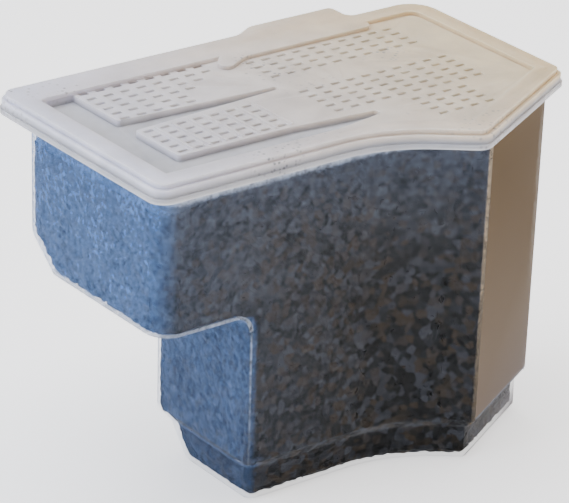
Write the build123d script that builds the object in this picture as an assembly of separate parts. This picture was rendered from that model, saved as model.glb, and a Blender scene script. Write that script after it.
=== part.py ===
from build123d import *
import os
from math import atan2, degrees, hypot, radians, sin, sqrt, tan

# Media cartridge of a hang-on-back aquarium filter: a stepped, thin-walled moulded tub full of
# granular carbon, under a clip-on lid with slotted grilles. Millimetres, +Z up. Outlines are
# drawn with x from the lid's left end and y from the lid's straight front edge, heights from
# the underside of the foot, and the finished pieces are moved so that the origin lies in the
# middle of that underside.

# ---- Lid, in plan ----
lid_length = 120.0          # left end to right end
lid_depth = 66.0            # straight front edge to back edge
lobe_bend = 61.1            # where the straight front turns out towards the lobe
lobe_x = 79.5               # tip of the lobe
lobe_reach = 13.7           # how far the lobe stands out in front of the straight front
right_front = 7.4           # front end of the right side
back_step = 4.0             # the back edge lies this much nearer, right of the thumb tab
tab_left = 67.5
tab_right = 98.9
tab_reach = 3.2             # how far the thumb tab stands out behind the back edge
tab_slope = 5.5             # length of the tab's slanted left end
notch_x = 85.5              # shallow notch between the tab's two lobes
notch_radius = 2.6
notch_depth = 1.0
bend_radius = 33.6          # the hollow curve between straight front and lobe

# ---- Lid, in section: heights above the skirt's lower edge ----
skirt_lip = 1.2             # plain lip along the lower edge
skirt_height = 3.1          # top of the lower tier
lid_height = 4.35           # top of the rim
lip_step = 0.4              # the skirt is set in by this above the lip
tier_step = 1.3             # the upper tier is set in by this from the outline
skirt_wall = 1.2
sheet = 1.3                 # thickness of the lid's sheet
deck_height = 3.3           # top of the deck that carries the grilles
trough_height = 1.7         # top of the sunk trough's floor
rim_width = 6.2             # outline to the deck's edge
trough_left = 15.5          # left edge of the grilles, where the trough's arms start
plug_depth = 2.0            # how far the plug ring reaches into the tub
plug_wall = 0.9

# ---- Tub, outer faces at the level of the lid's lower edge ----
seat_height = 83.25         # foot's underside to the lid's lower edge
tub_left = 3.4
tub_front = 3.6
tub_right = 115.8
tub_back = 58.15
tub_bend = 70.5
tub_lobe_x = 85.9
tub_lobe_y = -7.8
tub_right_front = 8.3
draft = 0.455               # degrees, every upright wall
wall = 1.0
rim_top = 1.7               # the tub's rim stands this far above the lid's lower edge
bead_width = 0.5
bead_height = 1.4

# ---- Tub, step and foot ----
shoulder_height = 48.95     # underside of the upper block's overhang
step_x = 28.2               # left face of the lower block, at the shoulder
step_radius = 4.0
lower_back = 42.1           # back face of the lower block, at the shoulder
upper_bevel = (12.5, 10.0)  # bevel under the back of the upper block, depth and height
lower_bevel = (12.1, 14.3)  # bevel under the back of the foot, depth and height
flare_bottom = 8.3          # the foot is narrower up to here ...
flare_top = 11.0            # ... and reaches the full outline here
foot_inset = 2.3
foot_corner = 3.0           # rounding of the foot's left corners
soft_edge = 1.0             # slanted edge around the foot's underside

# ---- Fits, grilles and filling ----
fit_gap = 0.3
slot_length = 2.5
slot_width = 1.1
floor_slot = 7.0            # longer slots in the tub's floor
slot_pitch_x = 4.5
slot_pitch_y = 3.3
rib_height = 0.35
rib_width = 0.5
head_space = 3.0            # plug ring's lower edge to the middle of the bed's surface
crown = 2.6                 # the bed's surface lies this much lower at its ends
settling = 0.25             # the sides' highest lumps lie this much deeper than the fit gap
lump_pitch = 7.8            # the packed grains' sides rise and dip about this far apart
lump_depth = 0.9

least_radius = 1.0          # where an outline is set in, tighter corners are left sharp
shortest_side = 0.5         # points of the bed's net that are nearer to each other than this are one


def set_in(corners, distance):
    """Moves each side of a closed outline, given as (x, y, radius) corners, inwards."""
    moved = []
    for i, (x, y, radius) in enumerate(corners):
        x0, y0, _ = corners[i - 1]
        x1, y1, _ = corners[(i + 1) % len(corners)]
        before, after = hypot(x - x0, y - y0), hypot(x1 - x, y1 - y)
        ux, uy = (x - x0) / before, (y - y0) / before
        vx, vy = (x1 - x) / after, (y1 - y) / after
        shift = distance / (1 + ux * vx + uy * vy)
        outer_corner = ux * vy - uy * vx > 0
        new_radius = radius - distance if outer_corner else radius + distance
        moved.append((x - (uy + vy) * shift, y + (ux + vx) * shift,
                      new_radius if new_radius >= least_radius else 0))
    return moved


def rounded(corners):
    """A face with the given (x, y, radius) corners."""
    face = Sketch() + make_face(Polyline([(x, y) for x, y, _ in corners], close=True))
    for x, y, radius in corners:
        if radius:
            corner = face.vertices().sort_by_distance(Vector(x, y, 0))[0]
            face = fillet(corner, radius)
    return face


def prism(corners, bottom, top):
    return Pos(0, 0, bottom) * extrude(rounded(corners), top - bottom)


def drafted(corners, bottom, top, inset):
    """A solid with the tub's draft, true to its outline at the lid's lower edge."""
    at_top = inset + (seat_height - top) * tan(radians(draft))
    face = Pos(0, 0, top) * rounded(set_in(corners, at_top))
    return extrude(face, top - bottom, dir=(0, 0, -1), taper=draft)


def lid_corners():
    back_right = lid_depth - back_step
    tab_back = lid_depth + tab_reach
    return [(0, 0, 4), (lobe_bend, 0, bend_radius), (lobe_x, -lobe_reach, 4),
            (lid_length, right_front, 3), (lid_length, back_right, 8),
            (tab_right, back_right, 1), (tab_right, tab_back, 2.6),
            (tab_left + tab_slope, tab_back, 5), (tab_left, lid_depth, 4), (0, lid_depth, 5)]


def upper_corners():
    return [(tub_left, tub_front, 6), (tub_bend, tub_front, bend_radius),
            (tub_lobe_x, tub_lobe_y, 1.6), (tub_right, tub_right_front, 2.5),
            (tub_right, tub_back, 6), (tub_left, tub_back, 5)]


def lower_corners():
    """The upper outline, with the left and back faces of the lower block."""
    slack = (seat_height - shoulder_height) * tan(radians(draft))
    corners = upper_corners()
    left, back = step_x - slack, lower_back + slack
    corners[0] = (left, tub_front, 2)
    corners[4] = (tub_right, back, 5.5)
    corners[5] = (left, back, 4)
    return corners


def foot_corners():
    """The foot's outline: the lower block's, set in, with its left corners well rounded."""
    corners = set_in(lower_corners(), foot_inset + (seat_height - flare_top) * tan(radians(draft)))
    for i in (0, 5):
        x, y, _ = corners[i]
        corners[i] = (x, y, foot_corner)
    return corners


def deck_corners():
    """Edge of the lid's sunk deck: parallel to the lid's front and ends, and to the tub's back."""
    back = tub_back - wall - fit_gap - plug_wall + rim_width
    corners = lid_corners()[:4] + [(lid_length, back, 9), (0, back, 8)]
    return set_in(corners, rim_width)


def tub_form(inset):
    """The tub's outer form at inset 0, or its hollow or filling at a larger inset."""
    shoulder = shoulder_height + inset
    upper = drafted(upper_corners(), shoulder, seat_height + rim_top, inset)

    lower = drafted(lower_corners(), flare_top, shoulder, inset)

    # Under the overhang, a hollow rounding leads the step's face out to the shoulder.
    left, radius = step_x + inset, step_radius + inset
    cove = make_face([Line((left + wall, shoulder), (left - radius, shoulder)),
                      RadiusArc((left - radius, shoulder), (left, shoulder - radius), -radius),
                      Line((left, shoulder - radius), (left + wall, shoulder - radius)),
                      Line((left + wall, shoulder - radius), (left + wall, shoulder))])
    behind = lower_back - inset - 4
    lower += (extrude(Plane.XZ.offset(-behind) * cove, behind)
              & drafted(upper_corners(), shoulder - radius, shoulder, inset))
    foot = set_in(foot_corners(), inset)
    rise = flare_top - flare_bottom
    lower += extrude(Pos(0, 0, flare_bottom) * rounded(foot), rise,
                     taper=-degrees(atan2(foot_inset, rise)))
    lower += prism(foot, inset + soft_edge, flare_bottom)
    lower += extrude(Pos(0, 0, inset + soft_edge) * rounded(foot), soft_edge, dir=(0, 0, -1), taper=45)
    upper_edge = bevel(tub_back, shoulder_height, upper_bevel, inset)
    lower_edge = bevel(lower_back, 0, lower_bevel, inset)
    return upper + lower - upper_edge - lower_edge


def bevel(back, bottom, size, inset):
    """What the slanted face under a block's back takes away."""
    depth, rise = size
    run = lid_length / 2
    edge = [(back - depth, bottom, 0), (back - depth, bottom - run, 0), (back + run, bottom - run, 0),
            (back + run, bottom + rise * (depth + run) / depth, 0)]
    return extrude(Plane.YZ * rounded(set_in(edge, -inset)), 2 * lid_length)


def slots(left, right, front, back, bottom, top, length=slot_length, keep=lambda x, y: True):
    """A grille: rows of slots, as many as fit the given rectangle."""
    pitch = length + slot_pitch_x - slot_length
    columns = int((right - left - length) / pitch) + 1
    rows = int((back - front - slot_width) / slot_pitch_y) + 1
    places = [(left + length / 2 + column * pitch,
               (front + back) / 2 + (row - (rows - 1) / 2) * slot_pitch_y)
              for column in range(columns) for row in range(rows)]
    return [Pos(x, y, (bottom + top) / 2) * Box(length, slot_width, top - bottom)
            for x, y in places if keep(x, y)]


def make_tub():
    bead_bottom = seat_height + rim_top - bead_height
    bead = prism(set_in(upper_corners(), -bead_width), bead_bottom, seat_height + rim_top)
    cavity = tub_form(wall)
    mouth = prism(set_in(upper_corners(), wall), seat_height, seat_height + lid_height)
    tub = tub_form(0) + bead - cavity - mouth
    floor_back = lower_back - lower_bevel[0] - wall
    floor_front = tub_front + foot_inset + 2 * wall
    return tub - slots(step_x + foot_inset + 3, tub_right - foot_inset - 3, floor_front + 2,
                       floor_back - 1, -1, 2 * wall, floor_slot)


def make_bed():
    """The carbon: it fills the tub up to a crowned surface under the lid."""
    gap = wall + fit_gap
    top = seat_height - plug_depth - head_space
    half = (tub_right - tub_left) / 2
    radius = (half ** 2 + crown ** 2) / (2 * crown)
    crest = Pos((tub_left + tub_right) / 2, 0, top - radius) * Rot(90, 0, 0)
    bed = lumpy_form(gap + settling) & crest * Cylinder(radius, 2 * lid_length)
    return bed - bevel(tub_back, shoulder_height, upper_bevel, gap) - bevel(lower_back, 0, lower_bevel, gap)


def lumpy_form(gap):
    """The tub's form at an inset, as a net of triangles whose every second point is sunk."""
    spacing = lump_pitch / sqrt(2)
    shoulder = shoulder_height + gap
    lower = spaced(gap, flare_bottom, spacing) + spaced(flare_top, shoulder, spacing)
    upper = spaced(shoulder, seat_height, spacing)
    count = 2 * round(rounded(upper_corners()).wire().length / spacing / 2)
    rings = []
    for i, z in enumerate(lower + upper):
        is_lower = i < len(lower)
        row = i if is_lower else i - 1
        rings.append((row, net_ring(z, gap, is_lower, row, count)))

    faces = [Face(Wire.make_polygon(without_repeats(rings[end][1]))) for end in (0, -1)]
    for (row, low), (next_row, high) in zip(rings, rings[1:]):
        for i in range(-1, count - 1):
            a, b, c, d = low[i], low[i + 1], high[i + 1], high[i]
            halves = ((a, b, c), (a, c, d)) if (i + row) % 2 == 0 else ((a, b, d), (b, c, d))
            faces += [Face(Wire.make_polygon(half)) for half in halves
                      if len(without_repeats(half)) == 3]
    return Solid(Shell(faces))


def spaced(bottom, top, spacing):
    steps = max(round((top - bottom) / spacing), 1)
    return [bottom + (top - bottom) * i / steps for i in range(steps + 1)]


def without_repeats(points):
    return [point for i, point in enumerate(points) if (point - points[i - 1]).length > 0.01]


def net_ring(z, gap, is_lower, row, count):
    """One level of the net: points along the outline, held to the lower block below the shoulder."""
    in_foot = z <= flare_bottom
    inset = gap + (seat_height - z) * tan(radians(draft)) + (foot_inset if in_foot else 0)
    ends = []
    for sunk in (0, lump_depth):
        points = evenly_along(set_in(upper_corners(), inset + sunk), count)
        if is_lower:
            block = set_in(foot_corners(), gap + sunk) if in_foot else set_in(lower_corners(), inset + sunk)
            points = [held(point, block) for point in points]
        ends.append([Vector(point.X, point.Y, z) for point in points])
    high, deep = ends
    ring = []
    for i in range(count):
        at_corner = min((high[i] - high[i - 1]).length, (high[i] - high[(i + 1) % count]).length) < 0.01
        sunk = 0 if at_corner or (i + row) % 2 == 0 else 0.75 + 0.25 * sin(7 * i + 5 * row)
        ring.append(high[i] * (1 - sunk) + deep[i] * sunk)
        if i and (ring[i] - ring[i - 1]).length < shortest_side:
            ring[i] = ring[i - 1]
    return ring


def evenly_along(corners, count):
    """Points spaced evenly along a rounded outline, from the middle of its left side on."""
    (x0, y0, _), (x1, y1, _) = corners[-1], corners[0]
    wire = rounded(corners).wire()
    start = wire.param_at_point(Vector((x0 + x1) / 2, (y0 + y1) / 2))
    turn = 1 if (wire % start).Y < 0 else -1
    return [wire @ ((start + turn * i / count) % 1) for i in range(count)]


def held(point, block):
    """The nearest point inside a block's left side, its back and the rounded corners there."""
    (left, front, front_left), (right, back, back_right), (_, _, back_left) = block[0], block[4], block[5]
    x, y = max(point.X, left), min(point.Y, back)
    for corner_x, corner_y, radius in ((left, front, front_left), (left, back, back_left),
                                       (right, back, back_right)):
        if abs(x - corner_x) < radius and abs(y - corner_y) < radius:
            centre_x = corner_x + (radius if corner_x == left else -radius)
            centre_y = corner_y + (radius if corner_y == front else -radius)
            pull = min(radius / hypot(x - centre_x, y - centre_y), 1)
            x, y = centre_x + (x - centre_x) * pull, centre_y + (y - centre_y) * pull
    return Vector(x, y, 0)


def pad_edge(y):
    """Left edge of the raised thumb pad where it runs out over the deck."""
    return 0.92 * (y - lid_depth / 2) + 35.0


def make_lid():
    seat = seat_height
    outline = lid_corners()
    deck = deck_corners()
    top = seat + lid_height

    # Three tiers: a lip, the skirt and the set-in rim.
    lid = prism(outline, seat, seat + skirt_lip)
    lid += prism(set_in(outline, lip_step), seat + skirt_lip, seat + skirt_height)
    lid += prism(set_in(outline, tier_step), seat + skirt_height, top)
    notch = Pos(notch_x, lid_depth + tab_reach + notch_radius - notch_depth, top)
    lid -= notch * Cylinder(notch_radius, 3 * lid_height)

    # Hollow underneath: the skirt's inside, and the rim's inside around the deck.
    deck_under = deck_height - sheet
    lid -= prism(set_in(outline, lip_step + skirt_wall), seat - 1, seat + deck_under)
    lid -= (prism(set_in(outline, tier_step + skirt_wall), seat + deck_under, top - sheet)
            - prism(set_in(deck, -sheet), seat, top))

    # The deck is sunk below the rim, but the thumb pad runs out over its back right part.
    deck_back = deck[4][1]
    pad_front = deck_back - 3.0
    pad = [(pad_edge(pad_front - 9), pad_front - 9, 2), (pad_edge(pad_front - 9) + 16, pad_front, 6),
           (tab_right, pad_front, 2), (tab_right, lid_depth, 0), (pad_edge(lid_depth), lid_depth, 0)]
    lid -= prism(deck, seat + deck_height, top + 1) - prism(pad, seat, top + 2)

    # A trough, shaped like a lying E, runs around the two left grilles.
    x0, y0 = deck[0][0], deck[0][1]
    arm_front, arm_back = 31.5, 38.2
    grille_front = 14.7
    trough = [(x0, y0, 2.5), (42, y0, 6), (68, 10.3, 0.8), (68, 12.4, 0.8), (46, grille_front, 4),
              (trough_left, grille_front, 1), (trough_left, arm_front, 1), (57.5, 34.3, 0.6),
              (57.5, 35.9, 0.6), (trough_left, arm_back, 1), (trough_left, deck_back, 0.5),
              (x0, deck_back, 2.5)]
    lid += prism(set_in(trough, -plug_wall), seat + trough_height - sheet, seat + deck_height - 0.1)
    lid -= prism(trough, seat + trough_height, top + 1)

    # The plug ring goes down inside the tub's rim.
    plug = prism(set_in(upper_corners(), wall + fit_gap), seat - plug_depth, top - sheet)
    plug -= prism(set_in(upper_corners(), wall + fit_gap + plug_wall), seat - plug_depth - 1, top)
    lid += plug

    # Ribs between the slot columns of the front left grille.
    ribs_right = 47.5
    first_slot = trough_left + 1.2
    rib_x = first_slot + (slot_length + slot_pitch_x) / 2
    while rib_x < ribs_right:
        lid += (Pos(rib_x, (grille_front + arm_front) / 2, seat + deck_height)
                * Box(rib_width, arm_front - grille_front - 2, 2 * rib_height))
        rib_x += slot_pitch_x

    # Grilles: two on the left, two on the right and a small one in the lobe.
    low, high = seat - 1, top + 1
    right_side = lid_length - rim_width - 8
    lid -= slots(first_slot, ribs_right, grille_front, arm_front, low, high)
    lid -= slots(first_slot, 54, arm_back, deck_back, low, high,
                 keep=lambda x, y: x < pad_edge(y) - 3)
    lid -= slots(60, right_side, 15.6, 31.5, low, high)
    lid -= slots(60, right_side, 39.0, pad_front, low, high)
    lid -= slots(79, 96, 2.5, 13.5, low, high)
    return lid


middle = Pos(-(step_x + tub_right) / 2, -(tub_front + lower_back - lower_bevel[0]) / 2, 0)
pieces = {"tub": make_tub(), "lid": make_lid(), "carbon_bed": make_bed()}

os.makedirs("parts", exist_ok=True)
for name, piece in pieces.items():
    export_step(middle * piece, f"parts/{name}.step")
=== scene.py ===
from math import hypot, radians

import bpy
import numpy as np
from bpy.props import FloatProperty, FloatVectorProperty, IntProperty, PointerProperty, StringProperty
from mathutils import Matrix, Vector
from mathutils.bvhtree import BVHTree


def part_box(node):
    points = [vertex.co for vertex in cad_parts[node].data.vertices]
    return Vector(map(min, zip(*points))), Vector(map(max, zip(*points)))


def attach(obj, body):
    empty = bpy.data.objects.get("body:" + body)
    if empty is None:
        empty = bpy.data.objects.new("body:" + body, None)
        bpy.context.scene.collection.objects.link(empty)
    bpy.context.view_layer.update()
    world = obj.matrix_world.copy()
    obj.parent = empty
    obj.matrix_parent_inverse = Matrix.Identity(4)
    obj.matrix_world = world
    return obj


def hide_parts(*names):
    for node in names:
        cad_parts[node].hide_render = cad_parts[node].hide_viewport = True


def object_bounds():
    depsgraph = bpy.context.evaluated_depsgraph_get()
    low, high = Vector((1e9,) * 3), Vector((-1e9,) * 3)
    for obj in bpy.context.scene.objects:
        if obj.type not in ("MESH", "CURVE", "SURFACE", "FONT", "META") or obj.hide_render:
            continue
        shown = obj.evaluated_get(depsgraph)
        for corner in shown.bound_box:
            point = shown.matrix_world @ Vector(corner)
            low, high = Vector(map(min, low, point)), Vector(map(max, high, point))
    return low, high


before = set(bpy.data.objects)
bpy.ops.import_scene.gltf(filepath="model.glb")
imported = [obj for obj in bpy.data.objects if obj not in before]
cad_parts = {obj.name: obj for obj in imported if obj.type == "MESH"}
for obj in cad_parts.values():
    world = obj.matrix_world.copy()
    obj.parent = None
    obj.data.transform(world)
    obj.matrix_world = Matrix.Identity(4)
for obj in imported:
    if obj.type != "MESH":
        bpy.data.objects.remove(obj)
CAD_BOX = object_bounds()

bl_info = {
    "name": "Filter Media Cartridge",
    "version": (1, 0, 0),
    "blender": (4, 5, 0),
    "location": "3D View > Sidebar > Cartridge",
    "description": "Dresses the media cartridge of a hang-on-back aquarium filter",
    "category": "Object",
}

MM = 0.001
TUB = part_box("tub")
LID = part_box("lid")
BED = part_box("carbon_bed")
CENTRE = (Vector(CAD_BOX[0]) + Vector(CAD_BOX[1])) / 2

# The tub's shape, as its material and the carbon use it. Lengths in millimetres.
X, Y, Z = (1, 0, 0), (0, 1, 0), (0, 0, 1)
LEAN = 0.0079                                   # draft of the upright walls
WALL = 1.0                                      # thickness of the walls
LEFT = TUB[0][0] / MM + 0.5                     # end wall, below the rim's bead
STEP, STEP_ROUNDING = -43.8, 4.0                # face of the step, and its hollow corner
SHOULDER = 48.95                                # underside of the overhang
FRONT = -13.2                                   # straight front wall
SLANT, CHAMFER = (-0.595, -0.804, -LEAN), (0.474, -0.880, -LEAN)
LOBE = Vector((13.9, -24.6, 83.25))             # corner between the slanted front and the chamfer
SLANT_FACE, CHAMFER_FACE = LOBE.dot(SLANT), LOBE.dot(CHAMFER)
LID_TOP = LID[1][2] / MM

# The carbon. Left of a line its surface falls towards the end wall.
FALL_START, FALL = -45.0, 0.11
HOLLOW_CLEARANCE = 7.5                          # from the hollow corner's middle to the carbon's core
UPWARD = 0.8                                    # a face whose direction rises by more is the surface's
CRUMPLE = 0.45                                  # depth of the lining's own unevenness

# Places that the plastic's materials treat apart: along each direction, where one starts and is whole.
# The end walls, whose denser blue film is partly the plastic's scatter and partly painted window light.
END_WALL = ((X, LEFT + 5, LEFT + 1.0),)
BELOW_SHOULDER = ((Z, SHOULDER + 0.2, SHOULDER - 0.2),)
FOOT_END = ((X, -38.6, -40.0), (Z, 13.0, 12.0))
STEP_FACE, STEP_LINE = (2.4, 1.3), (1.0, 0.7)   # by depth inside the step's outline
FRONT_WALL = ((Y, FRONT + 1.0, FRONT + 0.7),)
OVERHANG = ((Z, SHOULDER - 0.3, SHOULDER),)
# The chamfer's wall, whose thick brown film is a painted warm reflection.
CHAMFER_WALL = ((CHAMFER, CHAMFER_FACE - 2.0, CHAMFER_FACE - 1.2),
                (SLANT, SLANT_FACE - 0.2, SLANT_FACE - 0.7))
LOBE_EDGE = ((CHAMFER, CHAMFER_FACE - 0.75, CHAMFER_FACE - 0.45),
             (SLANT, SLANT_FACE - 0.75, SLANT_FACE - 0.45))
FLARE = ((Z, 10.4, 10.8), (Z, 11.6, 11.3))
RIM = ((Z, 79.8, 81.0),)
WINDOW_TOP, WINDOW_LEFT = ((Z, 50, 84),), ((X, -8, -70),)
LID_RAISED = ((Z, LID_TOP - 2.8, LID_TOP - 1.6),)
# Along the lid: where its painted warm lamp light grows towards the right end.
LID_RIGHT = ((X, LID[0][0] / MM, LID[1][0] / MM),)

# What the film hides: at the window's side and the flare, in shares of the wall's, and at the lobe's
# edge, of the other edges'. Then how late it gains at a slant, and the most that it may hide.
WINDOW_SHARE, FLARE_SHARE, LOBE_SHARE = 3.2, 1.6, 0.7
SLANT_POWER, MOST_FILM = 6.0, 0.95


# ---- Small tools ----

def linear(code, alpha=1.0):
    """An sRGB hex colour, such as "#d9dde4", as Blender's linear RGBA."""
    channels = [int(code[i:i + 2], 16) / 255 for i in (1, 3, 5)]
    return tuple(c / 12.92 if c <= 0.04045 else ((c + 0.055) / 1.055) ** 2.4 for c in channels) + (alpha,)


def add(tree, kind, inputs=None, **settings):
    """Adds a node. An input is a value, an output socket, or a node whose first working output feeds it."""
    made = tree.nodes.new(kind)
    for name, value in settings.items():
        setattr(made, name, value)
    for socket, value in (inputs or {}).items():
        if isinstance(value, bpy.types.Node):
            value = next(output for output in value.outputs if output.enabled)
        if isinstance(value, bpy.types.NodeSocket):
            tree.links.new(value, made.inputs[socket])
        else:
            made.inputs[socket].default_value = value
    return made


def new_material(name):
    material = bpy.data.materials.new(name)
    material.use_nodes = True
    material.node_tree.nodes.clear()
    return material, material.node_tree


def deselect():
    if bpy.context.object and bpy.context.object.mode != "OBJECT":
        bpy.ops.object.mode_set(mode="OBJECT")
    bpy.ops.object.select_all(action="DESELECT")


def activate(piece):
    deselect()
    piece.select_set(True)
    bpy.context.view_layer.objects.active = piece


def copy_of_node(node, name):
    """A merged copy of a CAD node, with its flat faces joined, ready for more modelling."""
    activate(bpy.data.objects[node])
    bpy.ops.object.duplicate()
    piece = bpy.context.object
    piece.name = name
    piece.data.name = name
    activate(piece)
    bpy.ops.object.mode_set(mode="EDIT")
    bpy.ops.mesh.select_all(action="SELECT")
    bpy.ops.mesh.remove_doubles(threshold=0.002 * MM)
    bpy.ops.mesh.dissolve_limited(angle_limit=radians(0.5))
    bpy.ops.object.mode_set(mode="OBJECT")
    return piece


def round_edges(piece, width, segments):
    """Rounds the sharp edges, as a moulding tool does."""
    activate(piece)
    bevel = piece.modifiers.new("moulded edges", "BEVEL")
    bevel.width = width
    bevel.segments = segments
    bevel.limit_method = "ANGLE"
    bevel.angle_limit = radians(40)
    bevel.use_clamp_overlap = True
    bpy.ops.object.modifier_apply(modifier=bevel.name)
    bpy.ops.object.shade_smooth_by_angle(angle=radians(35))


# ---- Materials ----

def region(tree, place, *limits):
    """A mask: 1 inside and 0 outside. Along each limit's direction it goes from 0 to 1."""
    mask = None
    for direction, outside, inside in limits:
        along = add(tree, "ShaderNodeVectorMath", {0: place, 1: direction}, operation="DOT_PRODUCT")
        step = add(tree, "ShaderNodeMapRange", {"Value": along, "From Min": outside * MM,
                                                "From Max": inside * MM})
        if mask:
            step = add(tree, "ShaderNodeMath", {0: mask, 1: step}, operation="MULTIPLY")
        mask = step
    return mask


def depth_in_step(tree, place):
    """How deep a point lies inside the step's outline: its face, underside and hollow corner."""
    squares = []
    for direction, start in (((1, 0, LEAN), STEP - STEP_ROUNDING + LEAN * SHOULDER),
                             (Z, SHOULDER - STEP_ROUNDING)):
        along = add(tree, "ShaderNodeVectorMath", {0: place, 1: direction}, operation="DOT_PRODUCT")
        past = add(tree, "ShaderNodeMath", {0: along, 1: start * MM}, operation="SUBTRACT")
        past = add(tree, "ShaderNodeMath", {0: past, 1: 0.0}, operation="MAXIMUM")
        squares.append(add(tree, "ShaderNodeMath", {0: past, 1: 2.0}, operation="POWER"))
    away = add(tree, "ShaderNodeMath", dict(enumerate(squares)), operation="ADD")
    away = add(tree, "ShaderNodeMath", {0: away}, operation="SQRT")
    return add(tree, "ShaderNodeMath", {0: away, 1: STEP_ROUNDING * MM}, operation="SUBTRACT")


def step_masks(tree, place):
    """Masks of the walls at the left, and of the pale line along the step's outline."""
    depth = depth_in_step(tree, place)
    face, line = (add(tree, "ShaderNodeMapRange", {"Value": depth, "From Min": start * MM,
                                                   "From Max": whole * MM})
                  for start, whole in (STEP_FACE, STEP_LINE))
    face = add(tree, "ShaderNodeMath", {0: face, 1: region(tree, place, *BELOW_SHOULDER)},
               operation="MULTIPLY")
    end = region(tree, place, *END_WALL)
    for part in (face, region(tree, place, *FOOT_END)):
        end = add(tree, "ShaderNodeMath", {0: end, 1: part}, operation="MAXIMUM")
    beside = add(tree, "ShaderNodeMath", {0: region(tree, place, *FRONT_WALL),
                                          1: region(tree, place, *OVERHANG)}, operation="MAXIMUM")
    return end, add(tree, "ShaderNodeMath", {0: line, 1: beside}, operation="MULTIPLY")


def unevenness(tree, place):
    """Haze in clouds, and grains: where one touches the wall, the plastic looks darker than beside it."""
    level = None
    for width, detail, roughness, spread in ((9, 6.0, 0.62, 0.3), (1.4, 3.0, 0.6, 0.5)):
        noise = add(tree, "ShaderNodeTexNoise", {"Vector": place, "Scale": 1 / (width * MM),
                                                 "Detail": detail, "Roughness": roughness})
        part = add(tree, "ShaderNodeMapRange", {"Value": noise, "From Min": 0.3, "From Max": 0.7,
                                                "To Min": 1 - spread, "To Max": 1 + spread})
        if level:
            part = add(tree, "ShaderNodeMath", {0: level, 1: part}, operation="MULTIPLY")
        level = part
    return level


def tub_polypropylene(name, settings):
    """Natural polypropylene, injection moulded: a milky film that lets the carbon show through.

    Against black it scatters blue. In the end walls the blue film is denser: partly that scatter,
    and partly painted window light on the walls that face it. Where a wall, a corner or the
    ledge is seen on edge, the light goes a long way through the plastic and comes back pale.
    """
    material, tree = new_material(name)
    place = add(tree, "ShaderNodeTexCoord").outputs["Object"]
    end, pale = step_masks(tree, place)
    rim, warm, flare, lobe = (region(tree, place, *limits)
                              for limits in (RIM, CHAMFER_WALL, FLARE, LOBE_EDGE))
    # The front takes on more of the window's blue towards its top and its left corner.
    sky = add(tree, "ShaderNodeMath", {0: region(tree, place, *WINDOW_TOP),
                                       1: region(tree, place, *WINDOW_LEFT)}, operation="MAXIMUM")
    tint, film = linear(settings.milk), settings.film
    for mask, colour, amount in ((sky, settings.sky_milk, settings.film * WINDOW_SHARE),
                                 (rim, settings.edge_milk, settings.edge_film),
                                 # End walls: blue film, partly the plastic's scatter, partly painted window
                                 # light on the side facing it.
                                 (end, settings.end_milk_and_window_light, settings.end_film_and_window_light),
                                 # Chamfer: a painted warm reflection, thick enough to hide the carbon
                                 # behind it.
                                 (warm, settings.chamfer_warm_reflection, settings.chamfer_reflection_film),
                                 (flare, settings.edge_milk, settings.film * FLARE_SHARE),
                                 (lobe, settings.warm_edge, settings.edge_film * LOBE_SHARE),
                                 (pale, settings.edge_milk, settings.edge_film)):
        tint = add(tree, "ShaderNodeMix", {"Factor": mask, "A": tint, "B": linear(colour)},
                   data_type="RGBA")
        film = add(tree, "ShaderNodeMix", {"Factor": mask, "A": film, "B": amount})

    # Lower down, less light gets into the wall: the film thins towards the bottom, a painted shade.
    # The chamfer's wall, a painted warm reflection, is lit and hazed all over.
    height = add(tree, "ShaderNodeVectorMath", {0: place, 1: Z}, operation="DOT_PRODUCT")
    lit = add(tree, "ShaderNodeMapRange", {"Value": height, "From Min": 0.0, "From Max": TUB[1][2],
                                           "To Min": 0.2, "To Max": 1.15})
    lit = add(tree, "ShaderNodeMath", {0: lit, 1: warm}, operation="MAXIMUM")
    uneven = add(tree, "ShaderNodeMix", {"Factor": warm, "A": unevenness(tree, place), "B": 1.0})
    for part in (uneven, lit):
        film = add(tree, "ShaderNodeMath", {0: film, 1: part}, operation="MULTIPLY")

    # Looked through at a slant, the way through the wall is longer, and it hides more.
    facing = add(tree, "ShaderNodeLayerWeight", {"Blend": 0.5}).outputs["Facing"]
    steep = add(tree, "ShaderNodeMath", {0: facing, 1: SLANT_POWER}, operation="POWER")
    film = add(tree, "ShaderNodeMath", {0: steep, 1: settings.slant, 2: film}, operation="MULTIPLY_ADD")
    film = add(tree, "ShaderNodeMath", {0: film, 1: MOST_FILM}, operation="MINIMUM")
    tint = add(tree, "ShaderNodeMix", {"Factor": steep, "A": tint, "B": linear(settings.slant_milk)},
               data_type="RGBA")

    # The mould's fine spark-eroded grain takes the gloss off the wall.
    grain = add(tree, "ShaderNodeTexNoise", {"Vector": place, "Scale": 1 / (0.5 * MM), "Detail": 2.0})
    bump = add(tree, "ShaderNodeBump", {"Height": grain, "Strength": 0.12, "Distance": 0.05 * MM})
    skin = add(tree, "ShaderNodeBsdfPrincipled", {"Base Color": tint, "Roughness": 0.45, "IOR": 1.49,
                                                  "Specular IOR Level": 0.02, "Normal": bump})
    through = add(tree, "ShaderNodeBsdfTransparent")
    blend = add(tree, "ShaderNodeMixShader", {"Fac": film, 1: through, 2: skin})
    add(tree, "ShaderNodeOutputMaterial", {"Surface": blend})
    return material


def wetted_polypropylene(name):
    """The wall's inner face where carbon lies against it: all but clear, as no air lies behind it."""
    material, tree = new_material(name)
    through = add(tree, "ShaderNodeBsdfTransparent")
    skin = add(tree, "ShaderNodeBsdfPrincipled", {"Base Color": linear("#8f949c"), "Roughness": 0.5,
                                                  "IOR": 1.49})
    blend = add(tree, "ShaderNodeMixShader", {"Fac": 0.01, 1: through, 2: skin})
    add(tree, "ShaderNodeOutputMaterial", {"Surface": blend})
    return material


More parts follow.
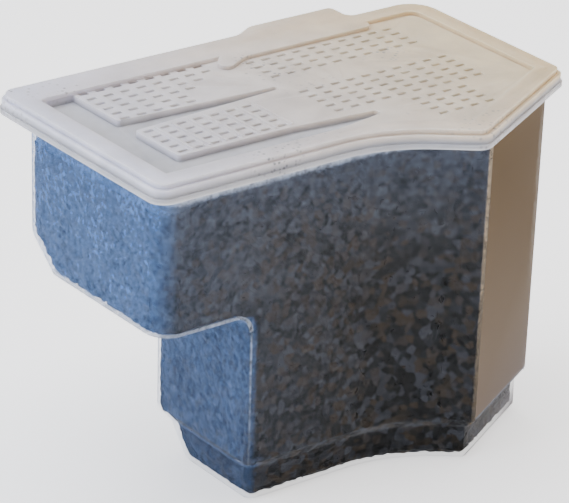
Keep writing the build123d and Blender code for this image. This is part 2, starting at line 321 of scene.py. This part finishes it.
def carbon_dust(tree, place):
    """A mask of fine carbon specks that lie in patches."""
    patches = add(tree, "ShaderNodeTexNoise", {"Vector": place, "Scale": 1 / (26 * MM), "Detail": 2.0})
    dusty = add(tree, "ShaderNodeMapRange", {"Value": patches, "From Min": 0.6, "From Max": 0.72})
    specks = add(tree, "ShaderNodeTexVoronoi", {"Vector": place, "Scale": 1 / (1.1 * MM)})
    pick = add(tree, "ShaderNodeSeparateXYZ", {"Vector": specks.outputs["Color"]})
    some = add(tree, "ShaderNodeMath", {0: pick, 1: 0.55}, operation="GREATER_THAN")
    near = add(tree, "ShaderNodeMapRange", {"Value": specks, "From Min": 0.45, "From Max": 0.2})
    dust = add(tree, "ShaderNodeMath", {0: dusty, 1: some}, operation="MULTIPLY")
    return add(tree, "ShaderNodeMath", {0: dust, 1: near}, operation="MULTIPLY")


def lid_polypropylene(name, settings):
    """The same plastic on the lid: it hides more where it stands clear of the carbon.

    Its tint is cool at the left end, partly painted window light,
    and warm at the right end, painted lamp light.
    """
    material, tree = new_material(name)
    place = add(tree, "ShaderNodeTexCoord").outputs["Object"]
    raised = region(tree, place, *LID_RAISED)
    film = add(tree, "ShaderNodeMix", {"Factor": raised, "A": settings.trough_film,
                                       "B": settings.lid_film})
    cloud = add(tree, "ShaderNodeTexNoise", {"Vector": place, "Scale": 1 / (9 * MM), "Detail": 5.0})
    uneven = add(tree, "ShaderNodeMapRange", {"Value": cloud, "From Min": 0.3, "From Max": 0.7,
                                              "To Min": 0.9, "To Max": 1.1})
    film = add(tree, "ShaderNodeMath", {0: film, 1: uneven}, operation="MULTIPLY")
    # Milky plastic with a cool tint that is partly painted window light; the right end turns to painted
    # warm lamp light.
    tint = linear(settings.lid_milk_and_window_light)
    for factor, start, end in ((region(tree, place, *LID_RIGHT), tint, linear(settings.lid_warm_lamp_light)),
                               (raised, linear(settings.trough_milk), None),
                               (carbon_dust(tree, place), None, linear(settings.dust))):
        tint = add(tree, "ShaderNodeMix", {"Factor": factor, "A": start or tint, "B": end or tint},
                   data_type="RGBA")
    grain = add(tree, "ShaderNodeTexNoise", {"Vector": place, "Scale": 1 / (0.5 * MM), "Detail": 2.0})
    bump = add(tree, "ShaderNodeBump", {"Height": grain, "Strength": 0.15, "Distance": 0.05 * MM})
    skin = add(tree, "ShaderNodeBsdfPrincipled", {
        "Base Color": tint, "Roughness": 0.42, "IOR": 1.49, "Subsurface Weight": 1.0,
        "Subsurface Radius": (1.0, 0.95, 0.85), "Subsurface Scale": settings.glow, "Normal": bump})
    through = add(tree, "ShaderNodeBsdfTransparent")
    blend = add(tree, "ShaderNodeMixShader", {"Fac": film, 1: through, 2: skin})
    add(tree, "ShaderNodeOutputMaterial", {"Surface": blend})
    return material


def activated_carbon(name, black, grey, brown, grain):
    """Crushed activated carbon: coal black grains, some dusty grey or brown."""
    material, tree = new_material(name)
    place = add(tree, "ShaderNodeTexCoord").outputs["Object"]
    cells = add(tree, "ShaderNodeTexVoronoi", {"Vector": place, "Scale": 1 / grain, "Randomness": 1.0})
    pick = add(tree, "ShaderNodeSeparateXYZ", {"Vector": cells.outputs["Color"]})
    colour = linear(black)
    for axis, rare, other in (("X", 0.45, grey), ("Y", 0.6, brown)):
        share = add(tree, "ShaderNodeMapRange", {"Value": pick.outputs[axis], "From Min": rare,
                                                 "From Max": 1.0})
        colour = add(tree, "ShaderNodeMix", {"Factor": share, "A": colour, "B": linear(other)},
                     data_type="RGBA")
    pores = add(tree, "ShaderNodeTexNoise", {"Vector": place, "Scale": 1 / (0.3 * MM), "Detail": 3.0})
    bump = add(tree, "ShaderNodeBump", {"Height": pores, "Strength": 0.5, "Distance": 0.08 * MM})
    skin = add(tree, "ShaderNodeBsdfPrincipled", {"Base Color": colour, "Roughness": 0.55, "IOR": 1.2,
                                                  "Normal": bump})
    add(tree, "ShaderNodeOutputMaterial", {"Surface": skin})
    return material


def studio_paper(name, colour, glow):
    """Matt white studio paper on a light table."""
    material, tree = new_material(name)
    place = add(tree, "ShaderNodeTexCoord").outputs["Object"]
    fibre = add(tree, "ShaderNodeTexNoise", {"Vector": place, "Scale": 1 / (2 * MM), "Detail": 3.0})
    bump = add(tree, "ShaderNodeBump", {"Height": fibre, "Strength": 0.03, "Distance": 0.05 * MM})
    sheet = add(tree, "ShaderNodeBsdfPrincipled", {"Base Color": colour, "Roughness": 0.9, "Normal": bump,
                                                   "Emission Color": colour, "Emission Strength": glow})
    add(tree, "ShaderNodeOutputMaterial", {"Surface": sheet})
    return material


# ---- Settings ----

class PlasticSettings(bpy.types.PropertyGroup):
    milk: StringProperty(name="Milk", description="Colour of the plastic's milky film", default="#9c9ea3")
    film: FloatProperty(name="Wall film", description="How much one face of the tub's wall hides",
                        default=0.065, min=0, max=1, subtype="FACTOR")
    slant: FloatProperty(name="Slant", description="What the wall's film gains at a grazing angle",
                         default=0.9, min=0, max=1, subtype="FACTOR")
    slant_milk: StringProperty(name="Slant milk", description="Colour of the wall at a grazing angle",
                               default="#65616a")
    sky_milk: StringProperty(name="Sky milk", description="Film colour where the window's light falls in",
                             default="#8593ae")
    # Partly the plastic's blue scatter, partly painted window light on the end walls that face it.
    end_milk_and_window_light: StringProperty(name="End milk", description="Film colour of the end walls",
                             default="#6c90c8")
    end_film_and_window_light: FloatProperty(name="End film", description="How much one face of an end wall hides",
                            default=0.4, min=0, max=1, subtype="FACTOR")
    # A painted warm reflection: the chamfer's brown stands in for the warm surroundings that it mirrors.
    chamfer_warm_reflection: StringProperty(name="Chamfer milk", description="Film colour of the chamfer wall",
                              default="#624f30")
    chamfer_reflection_film: FloatProperty(name="Chamfer film", description="How much one face of the chamfer hides",
                             default=0.72, min=0, max=1, subtype="FACTOR")
    edge_milk: StringProperty(name="Edge milk", description="Colour of plastic seen on edge",
                              default="#a9b3c4")
    warm_edge: StringProperty(name="Warm edge", description="The same at the lobe's edge, in warm light",
                              default="#b5a58f")
    edge_film: FloatProperty(name="Edge film", description="How much plastic seen on edge hides",
                             default=0.75, min=0, max=1, subtype="FACTOR")
    # The lid's milky plastic, with a cool tint that is partly painted window light.
    lid_milk_and_window_light: StringProperty(name="Lid milk", description="Colour of the lid's left end",
                             default="#d8d9e8")
    # Painted warm lamp light at the lid's right end.
    lid_warm_lamp_light: StringProperty(name="Lid warm", description="Colour of the lid's right end",
                             default="#dfc9a2")
    lid_film: FloatProperty(name="Lid film", description="How much one face of the lid hides",
                            default=0.9, min=0, max=1, subtype="FACTOR")
    trough_milk: StringProperty(name="Trough milk", description="Colour of the trough's thin floor",
                                default="#b9bac0")
    trough_film: FloatProperty(name="Trough film", description="How much the trough's floor hides",
                               default=0.8, min=0, max=1, subtype="FACTOR")
    dust: StringProperty(name="Dust", description="Colour of the carbon dust on the lid", default="#85868b")
    glow: FloatProperty(name="Glow", description="How far light spreads inside the lid's plastic",
                        default=2.5 * MM, unit="LENGTH")
    tub_edge: FloatProperty(name="Tub edge", description="Rounding of the tub's edges",
                            default=0.45 * MM, unit="LENGTH")
    lid_edge: FloatProperty(name="Lid edge", description="Rounding of the lid's edges",
                            default=0.3 * MM, unit="LENGTH")


class CarbonSettings(bpy.types.PropertyGroup):
    grain: FloatProperty(name="Grain", description="Mean width of a granule", default=1.7 * MM,
                         unit="LENGTH")
    wall_count: IntProperty(name="Wall granules", description="Granules that lie against the walls",
                            default=8000, min=1)
    top_count: IntProperty(name="Top granules", description="Granules in the bed's upper surface",
                           default=3000, min=1)
    reach: FloatProperty(name="Reach", default=0.5 * MM, unit="LENGTH",
                         description="How far the carbon seems to reach into the wall, which bends light")
    heap: FloatProperty(name="Heap", description="How far the loose upper grains stand above the bed",
                        default=2.0 * MM, unit="LENGTH")
    seed: IntProperty(name="Seed", description="Where the granules fall", default=11)
    coal_black: StringProperty(name="Coal black", description="Most grains", default="#060708")
    coal_grey: StringProperty(name="Coal grey", description="Dusty grains", default="#31343b")
    coal_brown: StringProperty(name="Coal brown", description="Earthy grains", default="#2e2519")
    shade_black: StringProperty(name="Shade black", description="The same deeper in", default="#050607")
    shade_grey: StringProperty(name="Shade grey", description="The same deeper in", default="#33363d")
    shade_brown: StringProperty(name="Shade brown", description="The same deeper in", default="#2e261c")


class StageSettings(bpy.types.PropertyGroup):
    distance: FloatProperty(name="Distance", description="Camera to the point it looks at",
                            default=0.8, unit="LENGTH")
    azimuth: FloatProperty(name="Azimuth", description="Turn of the camera about the part",
                           default=radians(-37.57), subtype="ANGLE")
    elevation: FloatProperty(name="Elevation", description="Height of the camera above the horizon",
                             default=radians(24.54), subtype="ANGLE")
    roll: FloatProperty(name="Roll", description="Tilt of the camera", default=radians(1.95),
                        subtype="ANGLE")
    lens: FloatProperty(name="Lens", description="Focal length in millimetres", default=216.0)
    aim: FloatVectorProperty(name="Aim", description="Point looked at, from the middle of the part",
                             default=(2.4 * MM, 8.8 * MM, -0.3 * MM), subtype="TRANSLATION")


# ---- Carbon ----

def granule_shapes(width, kinds):
    """A few crushed grains of 20 faces each, as vertex arrays, and the faces they share."""
    shapes = []
    for kind in range(kinds):
        deselect()
        bpy.ops.mesh.primitive_ico_sphere_add(subdivisions=1, radius=width / 2)
        grain = bpy.context.object
        bpy.ops.object.mode_set(mode="EDIT")
        bpy.ops.transform.vertex_random(offset=width * 0.22, uniform=1.0, normal=0.0, seed=kind + 3)
        bpy.ops.object.mode_set(mode="OBJECT")
        shapes.append(np.array([vertex.co for vertex in grain.data.vertices]))
        faces = np.array([face.vertices for face in grain.data.polygons])
        bpy.ops.object.delete()
    return shapes, faces


def triangles_of(surface):
    """The corners of a mesh's triangles, and their outward directions with length twice the area."""
    surface.data.calc_loop_triangles()
    points = np.array([vertex.co for vertex in surface.data.vertices])
    corners = points[np.array([triangle.vertices for triangle in surface.data.loop_triangles])]
    return corners, np.cross(corners[:, 1] - corners[:, 0], corners[:, 2] - corners[:, 0])


def scatter(corners, cross, count, rng):
    """Evenly spread random points on triangles, with the outward direction at each."""
    area = np.linalg.norm(cross, axis=1)
    pick = rng.choice(len(corners), count, p=area / area.sum())
    u, v = np.sqrt(rng.random(count))[:, None], rng.random(count)[:, None]
    a, b, c = (corners[pick, i] for i in range(3))
    return (1 - u) * a + u * (1 - v) * b + u * v * c, cross[pick] / area[pick][:, None]


def cut_at_carbon(level, clear):
    """Cuts the active copy of the tub along the carbon's surface, and may clear what is above."""
    bpy.ops.object.mode_set(mode="EDIT")
    for point, direction in (((0, 0, level), Z), ((FALL_START * MM, 0, level), (-FALL, 0, 1))):
        bpy.ops.mesh.select_all(action="SELECT")
        bpy.ops.mesh.bisect(plane_co=point, plane_no=direction, clear_outer=clear)
    bpy.ops.mesh.select_all(action="SELECT")
    bpy.ops.mesh.quads_convert_to_tris()
    bpy.ops.object.mode_set(mode="OBJECT")


def hollow_corner(tub):
    """Gives the corner between the step's face and the overhang a hollow rounding.

    Each corner point on the wall's two rounds goes to its mirror place beyond the round's chord.
    """
    slack = 0.06 * MM
    for vertex in tub.data.vertices:
        for inset in (0, WALL):
            radius = (STEP_ROUNDING + inset) * MM
            x, z = vertex.co.x - (STEP + inset) * MM, vertex.co.z - (SHOULDER + inset) * MM
            if max(x, z) < 0 and abs(hypot(x, z) - radius) < slack:
                vertex.co.x -= x + z + radius
                vertex.co.z -= x + z + radius
                break


def clear_hollow(core):
    """Moves the core's corners away from the hollow rounding."""
    for vertex in core.data.vertices:
        x, z = vertex.co.x - (STEP - STEP_ROUNDING) * MM, vertex.co.z - (SHOULDER - STEP_ROUNDING) * MM
        if min(x, z) > 0:
            push = max(HOLLOW_CLEARANCE * MM / hypot(x, z) - 1, 0)
            vertex.co.x += x * push
            vertex.co.z += z * push


def faces_on_carbon(piece, level):
    """The faces of a copy of the tub that look at the carbon close by, up to its surface."""
    core = BVHTree.FromObject(bpy.data.objects["carbon_core"], bpy.context.evaluated_depsgraph_get())
    probe, close = 0.4 * MM, 5 * MM
    found = []
    for face in piece.data.polygons:
        off = face.normal * probe
        ahead, behind = (core.find_nearest(face.center + shift)[3] for shift in (off, -off))
        top = level + min(0, FALL * (face.center.x - FALL_START * MM))
        if ahead < min(behind, close) and face.center.z < top:
            found.append(face.index)
    return found


def select(piece, kind, chosen):
    """Selects the chosen edges or faces of a piece, and opens it for editing."""
    activate(piece)
    bpy.ops.object.mode_set(mode="EDIT")
    bpy.ops.mesh.select_mode(type=kind)
    bpy.ops.mesh.select_all(action="DESELECT")
    bpy.ops.object.mode_set(mode="OBJECT")
    items = {"EDGE": piece.data.edges, "FACE": piece.data.polygons}[kind]
    flags = np.zeros(len(items), dtype=bool)
    flags[chosen] = True
    items.foreach_set("select", flags)
    bpy.ops.object.mode_set(mode="EDIT")


def divide_evenly(piece, spacing):
    """Divides a piece's faces until no edge is much longer than the spacing."""
    most_rounds, closest = 9, 0.45 * spacing
    for _ in range(most_rounds):
        mesh = piece.data
        points = np.array([vertex.co for vertex in mesh.vertices])
        ends = points[np.array([edge.vertices for edge in mesh.edges])]
        long = np.flatnonzero(np.linalg.norm(ends[:, 0] - ends[:, 1], axis=1) > spacing)
        if not len(long):
            break
        select(piece, "EDGE", long)
        bpy.ops.mesh.subdivide(number_cuts=1)
        bpy.ops.mesh.select_all(action="SELECT")
        bpy.ops.mesh.quads_convert_to_tris()
        bpy.ops.object.mode_set(mode="OBJECT")
    bpy.ops.object.mode_set(mode="EDIT")
    bpy.ops.mesh.select_all(action="SELECT")
    bpy.ops.mesh.remove_doubles(threshold=closest)
    bpy.ops.object.mode_set(mode="OBJECT")


def within_tub(points):
    """Points kept a little inside the tub's box, also where it has slots in its floor."""
    margin = 0.3 * MM
    return np.clip(points, np.array(TUB[0]) + margin, np.array(TUB[1]) - margin)


def crumple(piece, depth, rng):
    """Sinks each corner of a piece by its own small depth, so that its faces lie like packed grains."""
    points = np.array([vertex.co for vertex in piece.data.vertices])
    inward = np.array([vertex.normal for vertex in piece.data.vertices])
    points += inward * rng.uniform(0, depth, len(points))[:, None]
    piece.data.vertices.foreach_set("co", within_tub(points).ravel())
    piece.data.update()


def offset_faces(piece, distance):
    """Moves a piece's faces along their own directions."""
    activate(piece)
    bpy.ops.object.mode_set(mode="EDIT")
    bpy.ops.mesh.select_all(action="SELECT")
    bpy.ops.transform.shrink_fatten(value=distance, use_even_offset=True)
    bpy.ops.object.mode_set(mode="OBJECT")


def press_flat(mesh, wall, rng):
    """Presses the grains against the wall, so that none of their corners reaches past it."""
    deepest, rounds = 0.2 * MM, 2
    points = [vertex.co.copy() for vertex in mesh.vertices]
    for nearness in rng.uniform(0.0, deepest, (rounds, len(points))):
        for point, least in zip(points, nearness):
            touched, outward, _, _ = wall.find_nearest(point)
            past = least - (point - touched).dot(outward)
            if past > 0:
                point += outward * past
    mesh.vertices.foreach_set("co", within_tub(np.array(points)).ravel())
    mesh.update()


def random_turns(count, rng):
    """Random rotation matrices, from random quaternions."""
    q = rng.normal(size=(count, 4))
    w, x, y, z = (q / np.linalg.norm(q, axis=1)[:, None]).T
    return np.stack([1 - 2 * (y * y + z * z), 2 * (x * y - z * w), 2 * (x * z + y * w),
                     2 * (x * y + z * w), 1 - 2 * (x * x + z * z), 2 * (y * z - x * w),
                     2 * (x * z - y * w), 2 * (y * z + x * w), 1 - 2 * (x * x + y * y)],
                    axis=1).reshape(count, 3, 3)


def granule_mesh(name, spots, sizes, shapes, faces, rng):
    """One mesh of grains, each a turned and sized copy of one of the shapes."""
    count = len(spots)
    kinds = rng.integers(0, len(shapes), count)
    base = np.array(shapes)[kinds] * sizes[:, None, None]
    grains = np.einsum("nij,nkj->nki", random_turns(count, rng), base) + spots[:, None, :]
    corners = faces[None] + (np.arange(count) * len(shapes[0]))[:, None, None]
    mesh = bpy.data.meshes.new(name)
    mesh.from_pydata(grains.reshape(-1, 3).tolist(), [], corners.reshape(-1, 3).tolist())
    mesh.update()
    return mesh


def heaped_core(heap):
    """A copy of the bed whose upper surface stands higher, as its loose grains do."""
    core = copy_of_node("carbon_bed", "carbon_core")
    clear_hollow(core)
    upper = {index for face in core.data.polygons for index in face.vertices
             if face.normal.z > UPWARD and face.center.z > SHOULDER * MM}
    for index in upper:
        core.data.vertices[index].co.z += heap
    return core


def wall_lining(level, reach):
    """The tub's inner faces up to the carbon's surface, moved into the wall by the reach."""
    lining = copy_of_node("tub", "carbon_lining")
    hollow_corner(lining)
    cut_at_carbon(level, clear=True)
    kept = faces_on_carbon(lining, level + MM)
    select(lining, "FACE", np.setdiff1d(np.arange(len(lining.data.polygons)), kept))
    bpy.ops.mesh.delete(type="FACE")
    offset_faces(lining, -reach)
    return lining


class CARTRIDGE_OT_carbon(bpy.types.Operator):
    """Fills the tub with granular activated carbon"""
    bl_idname = "cartridge.carbon"
    bl_label = "Carbon"

    def execute(self, context):
        settings = context.scene.cartridge_carbon
        rng = np.random.default_rng(settings.seed)
        core = heaped_core(settings.heap)
        lining = wall_lining(BED[1][2] + settings.heap, settings.reach)
        against = BVHTree.FromObject(lining, context.evaluated_depsgraph_get())
        wall, wall_cross = triangles_of(lining)
        top, top_cross = triangles_of(core)
        upper = ((top_cross[:, 2] > UPWARD * np.linalg.norm(top_cross, axis=1))
                 & (top[:, 0, 2] > SHOULDER * MM))

        shapes, faces = granule_shapes(settings.grain, 5)
        coal = activated_carbon("granular activated carbon", settings.coal_black, settings.coal_grey,
                                settings.coal_brown, settings.grain)
        layers = (("carbon_granules", wall, wall_cross, settings.wall_count, 1),
                  ("carbon_top_granules", top[upper], top_cross[upper], settings.top_count, -1))
        for name, corners, cross, count, inwards in layers:
            spots, direction = scatter(corners, cross, count, rng)
            sizes = rng.uniform(0.65, 1.25, count)
            sink = settings.grain / 2 * sizes * rng.uniform(0.8, 1.3, count)
            spots = spots + inwards * direction * sink[:, None]
            granules = bpy.data.objects.new(name, granule_mesh(name, spots, sizes, shapes, faces, rng))
            press_flat(granules.data, against, rng)
            context.collection.objects.link(granules)
            granules.data.materials.append(coal)
            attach(granules, "tub_body")
            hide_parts("carbon_bed")

        # Behind the grains, a lining and a core keep light from passing between them.
        shade = activated_carbon("carbon in the shade of the grains", settings.shade_black,
                                 settings.shade_grey, settings.shade_brown, settings.grain)
        divide_evenly(lining, settings.grain)
        crumple(lining, CRUMPLE * MM, rng)
        for piece in (lining, core):
            piece.data.materials.clear()
            piece.data.materials.append(shade)
            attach(piece, "tub_body")
        return {"FINISHED"}


# ---- Plastic ----

class CARTRIDGE_OT_tub(bpy.types.Operator):
    """Rounds the tub's edges and gives it its milky plastic"""
    bl_idname = "cartridge.tub"
    bl_label = "Tub"

    def execute(self, context):
        settings = context.scene.cartridge_plastic
        tub = copy_of_node("tub", "tub_shell")
        hollow_corner(tub)
        tub.data.materials.clear()
        tub.data.materials.append(tub_polypropylene("natural polypropylene, tub", settings))
        tub.data.materials.append(wetted_polypropylene("natural polypropylene against carbon"))
        level = BED[1][2] + context.scene.cartridge_carbon.heap
        cut_at_carbon(level, clear=False)
        for index in faces_on_carbon(tub, level):
            tub.data.polygons[index].material_index = 1
        round_edges(tub, settings.tub_edge, 3)
        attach(tub, "tub_body")
        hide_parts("tub")
        return {"FINISHED"}


class CARTRIDGE_OT_lid(bpy.types.Operator):
    """Rounds the lid's edges and gives it its milky plastic"""
    bl_idname = "cartridge.lid"
    bl_label = "Lid"

    def execute(self, context):
        settings = context.scene.cartridge_plastic
        lid = copy_of_node("lid", "lid_shell")
        lid.data.materials.clear()
        lid.data.materials.append(lid_polypropylene("natural polypropylene, lid", settings))
        round_edges(lid, settings.lid_edge, 2)
        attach(lid, "lid_body")
        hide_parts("lid")
        return {"FINISHED"}


# ---- Stage ----

def soft_light(name, size, energy, colour, place, target):
    """A square soft box that faces a point."""
    lamp = bpy.data.lights.new(name, "AREA")
    lamp.size = size
    lamp.energy = energy
    lamp.color = linear(colour)[:3]
    box = bpy.data.objects.new(name, lamp)
    box.location = place
    box.rotation_euler = (Vector(target) - Vector(place)).to_track_quat("-Z", "Y").to_euler()
    bpy.context.collection.objects.link(box)


class CARTRIDGE_OT_stage(bpy.types.Operator):
    """Sets the floor, the soft boxes and the camera"""
    bl_idname = "cartridge.stage"
    bl_label = "Stage"

    def execute(self, context):
        settings = context.scene.cartridge_stage
        deselect()
        bpy.ops.mesh.primitive_plane_add(size=8, location=(0, 0, CAD_BOX[0][2] - 0.05 * MM))
        floor = context.object
        floor.name = "studio_floor"
        floor.data.materials.append(studio_paper("matt white studio paper", linear("#f4f4f5"), 1.3))

        middle = CENTRE
        soft_light("sky_window", 0.9, 14, "#e2eaff", middle + Vector((-1.1, 0.25, 0.75)), middle)
        soft_light("ceiling", 1.6, 42, "#ffffff", middle + Vector((0.0, 0.3, 1.5)), middle)
        soft_light("warm_lamp", 0.6, 4.0, "#ffd9b0", middle + Vector((0.9, -0.5, 0.5)), middle)
        world = bpy.data.worlds.new("studio")
        world.use_nodes = True
        world.node_tree.nodes["Background"].inputs["Color"].default_value = linear("#e8ecf2")
        world.node_tree.nodes["Background"].inputs["Strength"].default_value = 0.12
        context.scene.world = world

        camera_data = bpy.data.cameras.new("camera")
        camera_data.lens = settings.lens
        camera_data.sensor_width = 36
        camera = bpy.data.objects.new("camera", camera_data)
        turn = (Matrix.Rotation(settings.azimuth, 4, "Z")
                @ Matrix.Rotation(radians(90) - settings.elevation, 4, "X")
                @ Matrix.Rotation(settings.roll, 4, "Z"))
        target = middle + Vector(settings.aim)
        camera.matrix_world = Matrix.Translation(target + turn @ Vector((0, 0, settings.distance))) @ turn
        context.collection.objects.link(camera)
        context.scene.camera = camera
        return {"FINISHED"}


class CARTRIDGE_PT_panel(bpy.types.Panel):
    """Lists the steps and their settings"""
    bl_idname = "CARTRIDGE_PT_panel"
    bl_label = "Media Cartridge"
    bl_space_type = "VIEW_3D"
    bl_region_type = "UI"
    bl_category = "Cartridge"

    def draw(self, context):
        for group, steps in PANEL_ROWS:
            box = self.layout.box()
            settings = getattr(context.scene, group)
            for name in settings.__annotations__:
                box.prop(settings, name)
            for step in steps:
                box.operator(step)


PANEL_ROWS = (
    ("cartridge_carbon", ("cartridge.carbon",)),
    ("cartridge_plastic", ("cartridge.tub", "cartridge.lid")),
    ("cartridge_stage", ("cartridge.stage",)),
)
GROUPS = {"cartridge_carbon": CarbonSettings, "cartridge_plastic": PlasticSettings,
          "cartridge_stage": StageSettings}
CLASSES = (*GROUPS.values(), CARTRIDGE_OT_carbon, CARTRIDGE_OT_tub, CARTRIDGE_OT_lid,
           CARTRIDGE_OT_stage, CARTRIDGE_PT_panel)


def register():
    for item in CLASSES:
        bpy.utils.register_class(item)
    for name, group in GROUPS.items():
        setattr(bpy.types.Scene, name, PointerProperty(type=group))


def unregister():
    for name in GROUPS:
        delattr(bpy.types.Scene, name)
    for item in reversed(CLASSES):
        bpy.utils.unregister_class(item)


def main():
    register()
    bpy.ops.cartridge.carbon()
    bpy.ops.cartridge.tub()
    bpy.ops.cartridge.lid()
    bpy.ops.cartridge.stage()


if __name__ == "__main__":
    main()
